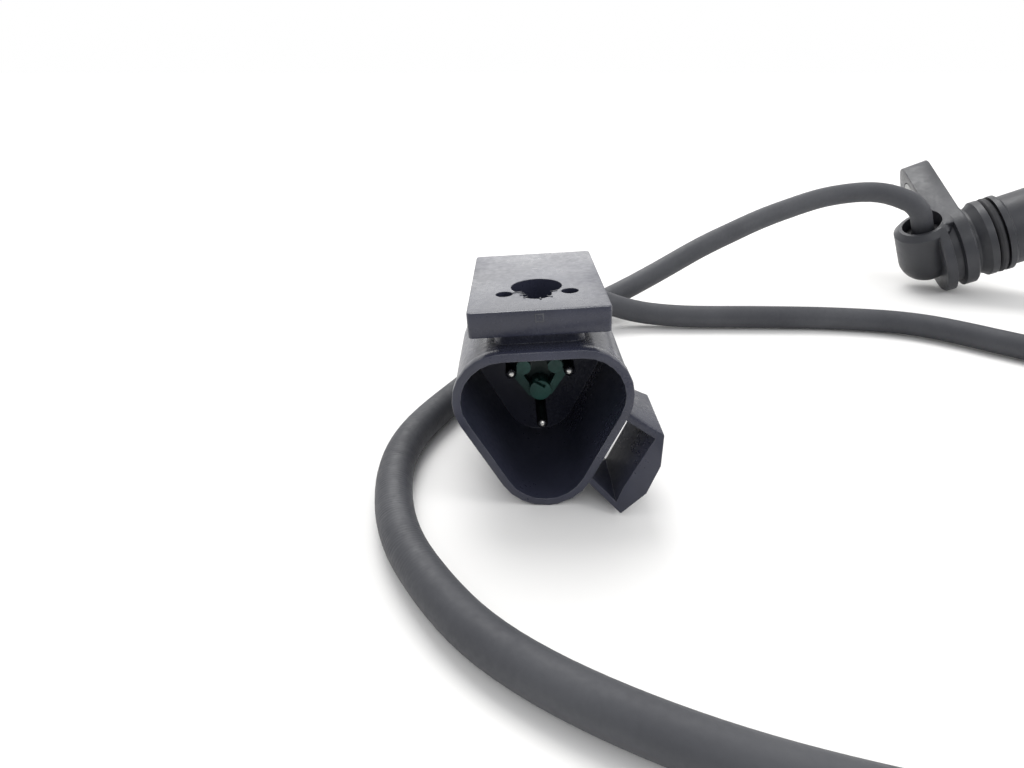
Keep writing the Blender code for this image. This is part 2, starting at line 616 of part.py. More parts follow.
def make_sensor_body(build, plastic):
    """The moulded head: barrel, collar, disc, bolt ear and elbow in one piece."""
    body = build.piece("sensor_body", turned("sensor_body", barrel_profile()), plastic)
    ear_outline = [(-EAR_HALF_ROOT, 0), (EAR_HALF_ROOT, 0)]
    for side, first in ((1, 0), (-1, 1)):
        for i in range(7):
            turn = (first + i / 6) * math.pi / 2
            x = side * (EAR_HALF_WIDTH - EAR_CORNER) + EAR_CORNER * math.cos(turn)
            ear_outline.append((x, EAR_REACH - EAR_CORNER + EAR_CORNER * math.sin(turn)))
    ear = extruded("bolt_ear", ear_outline, -EAR_FRONT - EAR_THICKNESS, -EAR_FRONT)
    combine(body, build.helper("bolt_ear", ear, EAR_EDGE), "UNION")
    elbow = turned("elbow", elbow_profile())
    elbow.transform(exit_matrix())
    combine(body, build.helper("elbow", elbow), "UNION")

    recess = extruded("cable_recess", circle(0, 0, RECESS_RADIUS, 32), ELBOW_TOP - RECESS_DEPTH, ELBOW_TOP + 2 * MM)
    recess.transform(exit_matrix())
    combine(body, build.helper("cable_recess", recess), "DIFFERENCE")
    bore = extruded("barrel_bore", circle(0, 0, BORE_RADIUS, 32), BORE_FLOOR, BARREL_LENGTH + 1 * MM)
    combine(body, build.helper("barrel_bore", bore), "DIFFERENCE")
    seat = circle(0, BOLT_OFFSET, BUSHING_RADIUS + GAP, 32)
    seat = extruded("bushing_seat", seat, -EAR_FRONT - EAR_THICKNESS - 0.5 * MM, 1 * MM)
    combine(body, build.helper("bushing_seat", seat), "DIFFERENCE")


def make_head_trim(build, steel, rubber, plastic):
    """The bolt bushing, the sealing ring, the nose cap and the cable gland."""
    front, back = -EAR_FRONT, -EAR_FRONT - EAR_THICKNESS
    profile = [(BUSHING_BORE, back), (BUSHING_RADIUS, back), (BUSHING_RADIUS, front), (BUSHING_BORE, front)]
    bushing = build.piece("bolt_bushing", turned("bolt_bushing", profile, 40), steel)
    bushing.location = (0, BOLT_OFFSET, 0)

    middle = RING_GROOVE_START + RING_GROOVE_WIDTH / 2
    ring_radius = RING_GROOVE_RADIUS + GAP + RING_SECTION
    section = [
        (ring_radius + RING_SECTION * math.cos(i * math.pi / 6), middle + RING_SECTION * math.sin(i * math.pi / 6))
        for i in range(12)
    ]
    build.piece("o_ring", turned("o_ring", section), rubber)

    spigot = BORE_RADIUS - GAP
    spigot_bore = spigot - CAP_SPIGOT_WALL
    seam = BARREL_LENGTH - CAP_THICKNESS
    ease = 0.8 * MM
    profile = [(0, BARREL_LENGTH), (BARREL_RADIUS - ease, BARREL_LENGTH)]
    profile += [(BARREL_RADIUS - 0.25 * ease, BARREL_LENGTH - 0.3 * ease), (BARREL_RADIUS, BARREL_LENGTH - ease)]
    profile += [(BARREL_RADIUS, seam), (spigot, seam), (spigot, seam - CAP_SPIGOT)]
    profile += [(spigot_bore, seam - CAP_SPIGOT), (spigot_bore, seam), (0, seam)]
    build.piece("nose_cap", turned("nose_cap", profile), plastic)

    top = ELBOW_TOP - GLAND_DEPTH
    floor = ELBOW_TOP - RECESS_DEPTH + GAP
    outer, inner = RECESS_RADIUS - GAP, CABLE_RADIUS + GAP
    profile = [(inner, floor), (outer, floor), (outer, top - 0.3 * MM), (outer - 0.3 * MM, top), (inner, top)]
    gland = turned("cable_gland", profile, 32)
    gland.transform(exit_matrix())
    build.piece("cable_gland", gland, rubber)


def make_pickup(build, plastic, magnet_grey, epoxy, copper):
    """The carrier in the barrel, with its magnet, its Hall chip and the chip's three leads."""
    start = BORE_FLOOR + GAP
    end = start + CARRIER_LENGTH
    radius = BORE_RADIUS - GAP
    carrier = build.piece("chip_carrier", extruded("chip_carrier", circle(0, 0, radius, 32), start, end), plastic)
    pocket = circle(0, 0, MAGNET_RADIUS + GAP, 24)
    pocket = extruded("magnet_pocket", pocket, end - MAGNET_LENGTH - GAP, end + 1 * MM)
    combine(carrier, build.helper("magnet_pocket", pocket), "DIFFERENCE")
    magnet = circle(0, 0, MAGNET_RADIUS, 24)
    build.piece("bias_magnet", extruded("bias_magnet", magnet, end - MAGNET_LENGTH, end), magnet_grey)

    chip_start = end + GAP
    chip = bpy.data.meshes.new("hall_chip")
    shape = bmesh.new()
    bmesh.ops.create_cube(shape, size=1)
    bmesh.ops.scale(shape, vec=(CHIP_WIDTH, CHIP_HEIGHT, CHIP_THICKNESS), verts=shape.verts)
    bmesh.ops.translate(shape, vec=(0, 0, chip_start + CHIP_THICKNESS / 2), verts=shape.verts)
    shape.to_mesh(chip)
    shape.free()
    build.piece("hall_chip", chip, epoxy)

    level = chip_start + CHIP_THICKNESS / 2
    for name, x in (("chip_lead_a", -LEAD_PITCH), ("chip_lead_b", 0.0), ("chip_lead_c", LEAD_PITCH)):
        slot = extruded(f"{name}_slot", circle(x, -LEAD_DROP, LEAD_RADIUS + 0.2 * MM, 8), start - 1 * MM, end + 1 * MM)
        combine(carrier, build.helper(f"{name}_slot", slot), "DIFFERENCE")
        points = [(x, -CHIP_HEIGHT / 2 - GAP, level), (x, -LEAD_DROP + 0.3 * MM, level)]
        points += [(x, -LEAD_DROP, level - 0.3 * MM), (x, -LEAD_DROP, start + 0.5 * MM)]
        build.piece(name, tube(name, points, LEAD_RADIUS, 1), copper)


def lowest_and_middle(pieces):
    """World box of some pieces: the middle of its footprint, and its lowest point."""
    bpy.context.view_layer.update()
    graph = bpy.context.evaluated_depsgraph_get()
    low, high = Vector((1e9,) * 3), Vector((-1e9,) * 3)
    for piece in pieces:
        evaluated = piece.evaluated_get(graph)
        mesh = evaluated.to_mesh()
        for vert in mesh.vertices:
            place = evaluated.matrix_world @ vert.co
            low = Vector(map(min, low, place))
            high = Vector(map(max, high, place))
        evaluated.to_mesh_clear()
    return Vector(((low.x + high.x) / 2, (low.y + high.y) / 2, low.z))


def lay_head(build):
    """Leans the head on its disc and elbow, with the middle of its footprint at the origin."""
    barrel = Vector((
        math.cos(BARREL_RISE) * math.cos(BARREL_HEADING),
        math.cos(BARREL_RISE) * math.sin(BARREL_HEADING),
        math.sin(BARREL_RISE),
    ))
    level = Vector((-math.sin(BARREL_HEADING), math.cos(BARREL_HEADING), 0))
    ear = math.cos(EAR_ROLL) * barrel.cross(level) + math.sin(EAR_ROLL) * level
    turn = Matrix((ear.cross(barrel), ear, barrel)).transposed()
    build.origin.rotation_euler = turn.to_euler()
    build.origin.location = -lowest_and_middle(build.pieces)


def lay_receptacle(build):
    """Lays the receptacle on its lower corner, looking towards the viewer."""
    build.origin.rotation_euler = (0, RECEPTACLE_ROLL, 0)
    build.origin.location = RECEPTACLE_PLACE - TABLE_MIDDLE
    build.origin.location.z = -lowest_and_middle(build.pieces).z


def smooth_route(points, step, first_step):
    """A curve through every point, read off in steps that start short."""
    fine = []
    padded = [points[0] * 2 - points[1], *points, points[-1] * 2 - points[-2]]
    for a, b, c, d in zip(padded, padded[1:], padded[2:], padded[3:]):
        for i in range(24):
            t = i / 24
            fine.append(0.5 * (2 * b + (c - a) * t + (2 * a - 5 * b + 4 * c - d) * t**2 + (3 * b - a - 3 * c + d) * t**3))
    fine.append(points[-1])
    lengths = [0.0]
    for a, b in zip(fine, fine[1:]):
        lengths.append(lengths[-1] + (b - a).length)
    bend = 4 * step  # the first stretch bends tightly, so it is read off more often
    goals = [bend * i / round(bend / first_step) for i in range(round(bend / first_step))]
    count = round((lengths[-1] - bend) / step)
    goals += [bend + (lengths[-1] - bend) * i / count for i in range(count + 1)]
    route, at = [], 0
    for goal in goals:
        while at < len(fine) - 2 and lengths[at + 1] < goal:
            at += 1
        share = (goal - lengths[at]) / (lengths[at + 1] - lengths[at])
        route.append(fine[at].lerp(fine[at + 1], share))
    return route


def make_cable(nodes, head, receptacle, rubber):
    """The free cable, from the elbow's recess to the boot behind the receptacle."""
    bpy.context.view_layer.update()
    out = head.origin.matrix_world @ exit_matrix()
    entry = receptacle.origin.matrix_world
    floor = ELBOW_TOP - RECESS_DEPTH + GAP
    points = [out @ Vector((0, 0, ELBOW_TOP - 0.5 * MM))]
    points += [Vector(place) * MM - TABLE_MIDDLE for place in CABLE_MIDDLE]
    wires_end = BOOT_START + BOOT_MOUTH + GAP
    points.append(entry @ Vector((0, BOOT_START + BOOT_LENGTH, 0)))
    route = [out @ Vector((0, 0, floor)), *smooth_route(points, CABLE_STEP, CABLE_FIRST_STEP)]
    route.append(entry @ Vector((0, wires_end, 0)))
    curve = tube("cable", route, CABLE_RADIUS, 3)
    curve.materials.append(rubber)
    nodes.objects.link(bpy.data.objects.new("cable", curve))


def main():
    clear_scene()
    nodes = make_collection("vehicle_speed_sensor")
    helpers = make_collection("helpers")
    housing_black = make_material("housing_black", (0.03, 0.032, 0.038), 0.5)
    body_black = make_material("body_black", (0.035, 0.036, 0.04), 0.42)
    wedge_green = make_material("wedge_green", (0.03, 0.16, 0.11), 0.5)
    seal_black = make_material("seal_black", (0.02, 0.02, 0.022), 0.7)
    cable_black = make_material("cable_black", (0.05, 0.05, 0.052), 0.65)
    pin_nickel = make_material("pin_nickel", (0.72, 0.7, 0.66), 0.25, 1.0)
    bushing_steel = make_material("bushing_steel", (0.6, 0.6, 0.58), 0.4, 1.0)
    magnet_grey = make_material("magnet_grey", (0.25, 0.25, 0.26), 0.5, 1.0)
    chip_epoxy = make_material("chip_epoxy", (0.02, 0.02, 0.02), 0.5)
    lead_copper = make_material("lead_copper", (0.7, 0.66, 0.6), 0.35, 1.0)
    wires = [
        make_material(f"wire_{name}", colour, 0.5)
        for name, colour in (("red", (0.45, 0.02, 0.02)), ("white", (0.7, 0.7, 0.68)), ("black", (0.02, 0.02, 0.02)))
    ]

    head = Builder("sensor_head", nodes, helpers)
    make_sensor_body(head, body_black)
    make_head_trim(head, bushing_steel, seal_black, body_black)
    make_pickup(head, housing_black, magnet_grey, chip_epoxy, lead_copper)
    lay_head(head)

    receptacle = Builder("receptacle", nodes, helpers)
    make_housing(receptacle, housing_black)
    make_pins(receptacle, pin_nickel)
    make_wedge(receptacle, wedge_green)
    make_wire_seal(receptacle, seal_black)
    make_wires(receptacle, wires)
    make_boot(receptacle, seal_black)
    lay_receptacle(receptacle)

    make_cable(nodes, head, receptacle, cable_black)


main()
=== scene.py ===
import math
import bmesh
import bpy
from mathutils import Matrix, Vector, noise


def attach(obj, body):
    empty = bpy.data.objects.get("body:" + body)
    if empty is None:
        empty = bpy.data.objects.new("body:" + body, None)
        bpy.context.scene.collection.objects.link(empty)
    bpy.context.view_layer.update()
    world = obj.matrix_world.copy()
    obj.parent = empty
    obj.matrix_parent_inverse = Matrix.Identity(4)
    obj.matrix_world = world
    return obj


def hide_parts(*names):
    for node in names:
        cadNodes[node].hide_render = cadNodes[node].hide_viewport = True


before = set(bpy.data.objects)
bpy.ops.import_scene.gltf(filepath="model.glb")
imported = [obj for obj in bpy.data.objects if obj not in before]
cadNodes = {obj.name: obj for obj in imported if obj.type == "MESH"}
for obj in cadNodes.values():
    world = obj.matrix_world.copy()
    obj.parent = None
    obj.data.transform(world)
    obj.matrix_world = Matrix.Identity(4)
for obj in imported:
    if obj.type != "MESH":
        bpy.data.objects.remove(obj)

mm = 0.001
scene = bpy.context.scene
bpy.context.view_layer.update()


# Camera: held about 53 mm above the table, tilted down, with a phone's wide lens
cameraSpec = {"place": (-125.6, -176.3, 53.2), "tiltDown": 25.6, "lens": 22.85, "sensor": 36.0}


def makeCamera(spec):
    data = bpy.data.cameras.new("phoneCamera")
    data.sensor_width = spec["sensor"]
    data.lens = spec["lens"]
    data.clip_start = 0.002
    data.clip_end = 30.0
    camera = bpy.data.objects.new("phoneCamera", data)
    camera.location = Vector(spec["place"]) * mm
    camera.rotation_euler = (math.radians(90.0 - spec["tiltDown"]), 0.0, 0.0)
    scene.collection.objects.link(camera)
    scene.camera = camera
    return camera


makeCamera(cameraSpec)
print("camera set")


def srgbToLinear(hexColor):
    channels = [int(hexColor[i:i + 2], 16) / 255.0 for i in (1, 3, 5)]
    linear = [c / 12.92 if c <= 0.04045 else ((c + 0.055) / 1.055) ** 2.4 for c in channels]
    return (*linear, 1.0)


def addNode(tree, kind, inputs=None, **settings):
    node = tree.nodes.new(kind)
    for name, value in settings.items():
        setattr(node, name, value)
    for key, value in (inputs or {}).items():
        if isinstance(value, bpy.types.NodeSocket):
            tree.links.new(value, node.inputs[key])
        else:
            node.inputs[key].default_value = value
    return node


def startMaterial(name):
    material = bpy.data.materials.new(name)
    material.use_nodes = True
    tree = material.node_tree
    shader = tree.nodes["Principled BSDF"]
    where = addNode(tree, "ShaderNodeTexCoord").outputs["Object"]
    return material, tree, shader, where


# Where the rounded normal leaves the flat one an edge is near, and noise breaks the worn line up
def edgeWear(tree, where, rounded, chipScale):
    flat = addNode(tree, "ShaderNodeNewGeometry").outputs["Normal"]
    sameWay = addNode(tree, "ShaderNodeVectorMath", {0: rounded, 1: flat}, operation="DOT_PRODUCT")
    edge = addNode(tree, "ShaderNodeMapRange", {0: sameWay.outputs["Value"], 1: 0.99, 2: 0.88}).outputs[0]
    chips = addNode(tree, "ShaderNodeTexNoise", {"Vector": where, "Scale": chipScale, "Detail": 6.0}).outputs[0]
    broken = addNode(tree, "ShaderNodeMapRange", {0: chips, 1: 0.42, 2: 0.62}).outputs[0]
    return addNode(tree, "ShaderNodeMath", {0: edge, 1: broken}, operation="MULTIPLY").outputs[0]


def mouldedPlastic(spec):
    material, tree, shader, where = startMaterial(spec["name"])
    cloudScale = spec["cloudScale"]
    clouds = {"Vector": where, "Scale": cloudScale, "Detail": 4.0}
    cloud = addNode(tree, "ShaderNodeTexNoise", clouds).outputs[0]
    shade = addNode(tree, "ShaderNodeMapRange", {0: cloud, 1: 0.35, 2: 0.65}).outputs[0]
    tones = {0: shade, 6: srgbToLinear(spec["dark"]), 7: srgbToLinear(spec["light"])}
    base = addNode(tree, "ShaderNodeMix", tones, data_type="RGBA").outputs[2]
    grains = {"Vector": where, "Scale": spec["grainScale"], "Detail": 5.0}
    grain = addNode(tree, "ShaderNodeTexNoise", grains).outputs[0]
    smooth, dull = spec["rough"]
    rough = addNode(tree, "ShaderNodeMapRange", {0: grain, 1: 0.3, 2: 0.7, 3: smooth, 4: dull}).outputs[0]
    smears = {"Vector": where, "Scale": 0.7 * cloudScale, "Detail": 7.0}
    smear = addNode(tree, "ShaderNodeTexNoise", smears).outputs[0]
    rubbed = addNode(tree, "ShaderNodeMapRange", {0: smear, 1: 0.35, 2: 0.65, 3: -0.08, 4: 0.08}).outputs[0]
    rough = addNode(tree, "ShaderNodeMath", {0: rough, 1: rubbed}, operation="ADD").outputs[0]
    relief = addNode(tree, "ShaderNodeBump", {"Height": grain, "Strength": spec["bump"], "Distance": 0.04 * mm})
    # Painted shade: the colour darkens towards the spec's dark tone further back along y, deep in the shaded
    # cavity
    if "depth" in spec:
        along = addNode(tree, "ShaderNodeSeparateXYZ", {0: where}).outputs[1]
        start, end = [place * mm for place in spec["depth"]]
        paintedShade = addNode(tree, "ShaderNodeMapRange", {0: along, 1: start, 2: end, 4: 0.85}).outputs[0]
        tones = {0: paintedShade, 6: base, 7: srgbToLinear(spec["wearAndShade"])}
        base = addNode(tree, "ShaderNodeMix", tones, data_type="RGBA").outputs[2]
    if "edge" in spec:
        rounded = addNode(tree, "ShaderNodeBevel", {"Radius": spec["edge"] * mm}, samples=6).outputs[0]
        wearAndShade = edgeWear(tree, where, rounded, spec["chipScale"])
        tones = {0: wearAndShade, 6: base, 7: srgbToLinear(spec["wearAndShade"])}
        base = addNode(tree, "ShaderNodeMix", tones, data_type="RGBA").outputs[2]
        tree.links.new(rounded, relief.inputs["Normal"])
    tree.links.new(base, shader.inputs["Base Color"])
    tree.links.new(rough, shader.inputs["Roughness"])
    tree.links.new(relief.outputs[0], shader.inputs["Normal"])
    return material


def plainMaterial(spec):
    material, tree, shader, where = startMaterial(spec["name"])
    grains = {"Vector": where, "Scale": spec["grainScale"], "Detail": 3.0}
    grain = addNode(tree, "ShaderNodeTexNoise", grains).outputs[0]
    smooth, dull = spec["rough"]
    rough = addNode(tree, "ShaderNodeMapRange", {0: grain, 1: 0.3, 2: 0.7, 3: smooth, 4: dull}).outputs[0]
    tree.links.new(rough, shader.inputs["Roughness"])
    shader.inputs["Base Color"].default_value = srgbToLinear(spec["color"])
    shader.inputs["Metallic"].default_value = spec.get("metallic", 0.0)
    return material


# Bright nickel at the end of each contact, with painted shade darkening the shaft behind it and a blotchy line
# where the shade starts
def contactMetal(spec):
    material, tree, shader, where = startMaterial(spec["name"])
    along = addNode(tree, "ShaderNodeSeparateXYZ", {0: where}).outputs[1]
    blotch = addNode(tree, "ShaderNodeTexNoise", {"Vector": where, "Scale": 900.0, "Detail": 3.0}).outputs[0]
    sway = {0: blotch, 1: 0.3, 2: 0.7, 3: -0.1 * mm, 4: 0.1 * mm}
    wander = addNode(tree, "ShaderNodeMapRange", sway).outputs[0]
    shifted = addNode(tree, "ShaderNodeMath", {0: along, 1: wander}, operation="ADD").outputs[0]
    start = spec["tipEnd"] * mm
    end = start + spec["fade"] * mm
    share = addNode(tree, "ShaderNodeMapRange", {0: shifted, 1: start, 2: end}).outputs[0]
    tones = {0: share, 6: srgbToLinear(spec["bright"]), 7: srgbToLinear(spec["dull"])}
    base = addNode(tree, "ShaderNodeMix", tones, data_type="RGBA").outputs[2]
    smooth, dull = spec["rough"]
    rough = addNode(tree, "ShaderNodeMapRange", {0: share, 3: smooth, 4: dull}).outputs[0]
    tree.links.new(base, shader.inputs["Base Color"])
    tree.links.new(rough, shader.inputs["Roughness"])
    shader.inputs["Metallic"].default_value = 1.0
    return material


# Pattern scales are per metre: 1400 is a grain 0.7 mm wide, 320 are chips of 3 mm, and 90 is a cloud of 11 mm
# Moulded nylon of the receptacle and its plate: near-black with a cool blue-grey cast, rubbed pale on its edges
housingNylon = mouldedPlastic({
    "name": "housingNylon", "dark": "#292b38", "light": "#343645", "cloudScale": 90.0, "grainScale": 1400.0,
    "rough": (0.27, 0.39), "bump": 0.14, "edge": 0.16, "wearAndShade": "#6b6d72", "chipScale": 320.0,
})
# The same nylon where the sprue was broken off: dull and paler
scuffedNylon = mouldedPlastic({
    "name": "scuffedNylon", "dark": "#3c3d42", "light": "#505156", "cloudScale": 900.0, "grainScale": 2400.0,
    "rough": (0.5, 0.65), "bump": 0.4,
})
# Glass-filled nylon of the sensor head: the same black, a little greyer and duller
headNylon = mouldedPlastic({
    "name": "headNylon", "dark": "#28292d", "light": "#34353a", "cloudScale": 70.0, "grainScale": 1100.0,
    "rough": (0.4, 0.52), "bump": 0.3, "edge": 0.2, "wearAndShade": "#4e4f53", "chipScale": 260.0,
})
# Green moulded wedge lock deep in the receptacle, with painted shade darkening it further back in its tray
wedgeResin = mouldedPlastic({
    "name": "wedgeResin", "dark": "#204c46", "light": "#33695f", "cloudScale": 200.0, "grainScale": 1500.0,
    "rough": (0.35, 0.5), "bump": 0.2, "depth": (-88.2, -86.4), "wearAndShade": "#12201f",
})
# Silicone of the seals, the gland and the boot
sealSilicone = mouldedPlastic({
    "name": "sealSilicone", "dark": "#1c1c1f", "light": "#26262a", "cloudScale": 120.0,
    "grainScale": 900.0, "rough": (0.55, 0.7), "bump": 0.3,
})
# Nickel plating of the contacts: bright at the tip, with painted shade making the shaft dark behind it
contactNickel = contactMetal({
    "name": "contactNickel", "bright": "#c9c7c2", "dull": "#3b3c40", "tipEnd": -93.9, "fade": 0.3,
    "rough": (0.18, 0.5),
})
# Zinc-plated steel bushing round the bolt hole
bushingSteel = plainMaterial({
    "name": "bushingSteel", "color": "#8f908f", "metallic": 1.0, "grainScale": 500.0, "rough": (0.36, 0.5),
})
# Sintered magnet, chip epoxy and tinned leads inside the barrel
magnetCeramic = plainMaterial({
    "name": "magnetCeramic", "color": "#55565a", "metallic": 0.6, "grainScale": 800.0, "rough": (0.45, 0.6),
})
chipEpoxy = plainMaterial({"name": "chipEpoxy", "color": "#1f1f20", "grainScale": 800.0, "rough": (0.45, 0.55)})
leadTin = plainMaterial({
    "name": "leadTin", "color": "#c9c6bf", "metallic": 1.0, "grainScale": 800.0, "rough": (0.25, 0.35),
})
# Insulation of the three wires behind the receptacle
wireRed = plainMaterial({"name": "wireRed", "color": "#9c1f1c", "grainScale": 700.0, "rough": (0.4, 0.5)})
wireWhite = plainMaterial({"name": "wireWhite", "color": "#dcdcd8", "grainScale": 700.0, "rough": (0.4, 0.5)})
wireBlack = plainMaterial({"name": "wireBlack", "color": "#1d1d1f", "grainScale": 700.0, "rough": (0.4, 0.5)})
print("materials made")

# Cable: the route's points in millimetres, from the spot on the table that lies below the camera
belowCamera = Vector((-125.6, -176.3, 0.0))
cableSpec = {
    "radius": 2.5, "sides": 28,
    "mouth": (-15.5, -4.3, 11.4),
    "exitWay": (-0.4589, -0.1905, 0.8678), "straight": 6.7,
    "bootEnd": 52.3, "bootInside": 45.6,
    "spacing": 2.0, "exitSpacing": 1.5, "evenRounds": 6, "heldPoints": 7,
    "middle": [
        (104.5, 169.7, 21.3), (100.6, 170.5, 24.1), (95.0, 172.6, 25.6), (88.2, 174.5, 24.9),
        (80.1, 173.3, 23.8), (71.4, 170.2, 21.8), (63.0, 166.9, 19.7), (54.3, 162.4, 17.1),
        (46.1, 158.6, 14.4), (37.8, 155.3, 10.6), (28.0, 151.6, 6.3), (16.8, 145.2, 3.0),
        (7.0, 134.5, 2.6), (-0.6, 121.0, 2.6), (-5.8, 109.3, 2.6), (-10.3, 99.7, 2.6),
        (-13.5, 92.8, 2.6), (-15.8, 85.8, 2.6), (-16.5, 78.6, 2.6), (-15.7, 70.8, 2.6),
        (-14.0, 64.2, 2.6), (-11.1, 58.1, 2.6), (-2.9, 47.1, 2.6), (9.9, 38.5, 2.6),
        (27.0, 31.8, 2.6), (50.0, 27.5, 2.6), (80.0, 29.0, 2.6), (108.0, 39.5, 2.6),
        (131.0, 60.0, 2.6), (137.0, 78.0, 2.6), (129.0, 99.0, 2.6), (115.0, 112.5, 2.6),
        (102.8, 123.9, 2.8), (90.4, 135.6, 2.8), (74.8, 140.2, 2.6), (56.7, 141.0, 2.7),
        (38.3, 141.2, 2.8), (27.0, 141.9, 3.9), (18.2, 141.3, 7.2), (10.4, 137.6, 10.2),
        (5.6, 131.8, 12.2),
    ],
}
receptacleSpec = {"place": (-121.5, -103.6, 12.88), "turn": -3.3}


def receptaclePoint(x, y, z):
    turn = Matrix.Rotation(math.radians(receptacleSpec["turn"]), 3, "Y")
    return (Vector(receptacleSpec["place"]) + turn @ Vector((x, y, z))) * mm


def smoothRoute(points, step, firstStep):
    perSpan = 24
    fine = []
    padded = [points[0] * 2 - points[1], *points, points[-1] * 2 - points[-2]]
    for a, b, c, d in zip(padded, padded[1:], padded[2:], padded[3:]):
        for i in range(perSpan):
            t = i / perSpan
            bow = (c - a) * t + (2 * a - 5 * b + 4 * c - d) * t**2 + (3 * b - a - 3 * c + d) * t**3
            fine.append(0.5 * (2 * b + bow))
    fine.append(points[-1])
    return readOff(fine, step, firstStep)


# Even steps along the fine route, a little shorter where the cable leaves the head
def readOff(fine, step, firstStep):
    lengths = [0.0]
    for a, b in zip(fine, fine[1:]):
        lengths.append(lengths[-1] + (b - a).length)
    firstPart = 4 * step
    firstCount = round(firstPart / firstStep)
    rest = lengths[-1] - firstPart
    restCount = round(rest / step)
    goals = [firstPart * i / firstCount for i in range(firstCount)]
    goals += [firstPart + rest * i / restCount for i in range(restCount + 1)]
    route = []
    at = 0
    for goal in goals:
        while at < len(fine) - 2 and lengths[at + 1] < goal:
            at += 1
        share = (goal - lengths[at]) / (lengths[at + 1] - lengths[at])
        route.append(fine[at].lerp(fine[at + 1], share))
    return route


def cableRoute(spec):
    way = Vector(spec["exitWay"])
    mouth = Vector(spec["mouth"])
    points = [(mouth + way * spec["straight"]) * mm]
    points += [(Vector(place) + belowCamera) * mm for place in spec["middle"]]
    points.append(receptaclePoint(0.0, spec["bootEnd"], 0.0))
    route = smoothRoute(points, spec["spacing"] * mm, spec["exitSpacing"] * mm)
    return [mouth * mm, *route, receptaclePoint(0.0, spec["bootInside"], 0.0)]


def sweepRings(bm, route, sides, radiusAt):
    normal = Vector((0.0, 0.0, 1.0))
    rings = []
    travelled = 0.0
    for i, here in enumerate(route):
        ahead = route[min(i + 1, len(route) - 1)] - route[max(i - 1, 0)]
        tangent = ahead.normalized()
        normal = (normal - tangent * normal.dot(tangent)).normalized()
        side = tangent.cross(normal)
        travelled += (here - route[i - 1]).length if i else 0.0
        ring = []
        for k in range(sides):
            angle = 2.0 * math.pi * k / sides
            out = normal * math.cos(angle) + side * math.sin(angle)
            ring.append(bm.verts.new(here + out * radiusAt(travelled, angle, i)))
        rings.append(ring)
    for lower, upper in zip(rings, rings[1:]):
        for k in range(sides):
            bm.faces.new((lower[k], upper[k], upper[(k + 1) % sides], lower[(k + 1) % sides]))
    bm.faces.new(rings[0])
    bm.faces.new(list(reversed(rings[-1])))


def meshObject(name, bm, material, smooth=True):
    bmesh.ops.recalc_face_normals(bm, faces=bm.faces)
    mesh = bpy.data.meshes.new(name)
    bm.to_mesh(mesh)
    bm.free()
    for face in mesh.polygons:
        face.use_smooth = smooth
    mesh.materials.append(material)
    made = bpy.data.objects.new(name, mesh)
    scene.collection.objects.link(made)
    return made


# Rubber jacket of the cable: dull dark grey, with fine cross wrinkles where it bends tightly
jacketRubber = mouldedPlastic({
    "name": "jacketRubber", "dark": "#34353a", "light": "#45464a", "cloudScale": 45.0,
    "grainScale": 1300.0, "rough": (0.56, 0.7), "bump": 0.3,
})
wrinkleSpec = {
    "bend": (-141.4, -102.0, 2.6), "reach": 21.0, "pitch": 0.5, "depth": 0.075, "step": 0.11,
    "alongScale": 0.4, "roundScale": 1.7, "drift": 5.0, "patchScale": 2.3, "patchMean": 0.45, "patchSwing": 1.1,
}


def refined(route, spec):
    bend = Vector(spec["bend"]) * mm
    fine = []
    for a, b in zip(route, route[1:]):
        near = ((a + b) / 2 - bend).length < 1.5 * spec["reach"] * mm
        count = max(1, math.ceil((b - a).length / ((spec["step"] if near else 1.0) * mm)))
        fine.extend(a.lerp(b, i / count) for i in range(count))
    fine.append(route[-1])
    return fine


def smoothed(route, rounds, hold):
    head = route[:hold]
    middle = route[hold:-hold]
    tail = route[-hold:]
    for _ in range(rounds):
        around = [head[-1], *middle, tail[0]]
        middle = [(a + b * 2 + c) / 4 for a, b, c in zip(around, around[1:], around[2:])]
    return [*head, *middle, *tail]


def wrinkledRadius(route, spec, radius):
    bend = Vector(spec["bend"]) * mm
    otherPatch = Vector((7.0, 3.0, 1.0))

    def radiusAt(travelled, angle, i):
        far = (route[i] - bend).length / (spec["reach"] * mm)
        strength = math.exp(-far ** 4 * 1.5)
        if strength < 0.02:
            return radius
        about = spec["roundScale"]
        place = Vector((travelled / mm * spec["alongScale"], math.cos(angle) * about, math.sin(angle) * about))
        drift = noise.noise(place) * spec["drift"]
        swing = spec["patchSwing"] * noise.noise(place * spec["patchScale"] + otherPatch)
        patch = min(max(spec["patchMean"] + swing, 0.0), 1.0)
        ridge = 0.5 - 0.5 * math.cos(2.0 * math.pi * travelled / mm / spec["pitch"] + drift)
        return radius - spec["depth"] * mm * strength * patch * (1.0 - ridge)

    return radiusAt


def makeCable(spec, wrinkles):
    coarse = cableRoute(spec)
    radius = spec["radius"] * mm
    route = refined(smoothed(coarse, spec["evenRounds"], spec["heldPoints"]), wrinkles)
    bm = bmesh.new()
    sweepRings(bm, route, spec["sides"], wrinkledRadius(route, wrinkles, radius))
    jacket = meshObject("cableJacket", bm, jacketRubber)
    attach(jacket, "root")
    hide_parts("cable")
    length = sum((b - a).length for a, b in zip(coarse, coarse[1:]))
    print("cable length in mm", round(length / mm, 1))
    return jacket, coarse


jacket, cablePath = makeCable(cableSpec, wrinkleSpec)
print("cable made")


# Stage: pale floor that glows with distance, and white surroundings that dim towards the viewer's side
stageSpec = {
    "floor": "#ebeae8", "cloudy": 0.97, "glow": (0.02, 0.5), "glowFrom": 0.35, "glowTo": 1.4,
    "near": "#bcbfc5", "far": "#ffffff", "strength": 1.0, "wide": 30.0,
}


